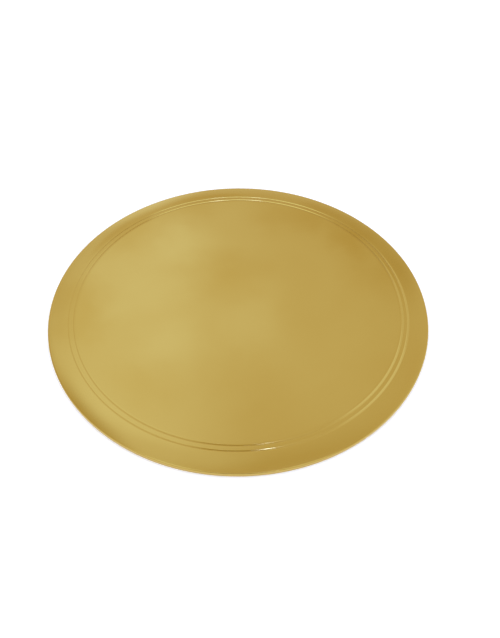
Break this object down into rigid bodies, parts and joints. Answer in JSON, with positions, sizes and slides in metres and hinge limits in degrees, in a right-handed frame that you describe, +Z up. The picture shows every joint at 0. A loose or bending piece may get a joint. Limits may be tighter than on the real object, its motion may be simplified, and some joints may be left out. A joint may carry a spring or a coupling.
{
  "type": "paten",
  "caption": "Shallow round paten of polished gold-plated brass, with a wide flat floor, fine turned lines near the edge and a softly crowned rim. It carries the altar bread.",
  "frame": {"origin": "on the plate's axis, at the underside of the floor that it rests on", "axes": "+Z up along the axis that the plate is turned about, top face up; the plate is round, so +X and +Y lie anywhere in its plane"},
  "size_m": [0.15, 0.15, 0.0024],
  "materials": {
    "gilt_brass": "polished, gold plated"
  },
  "bodies": {
    "root": {"paten_plate": "gilt_brass"}
  },
  "joints": []
}
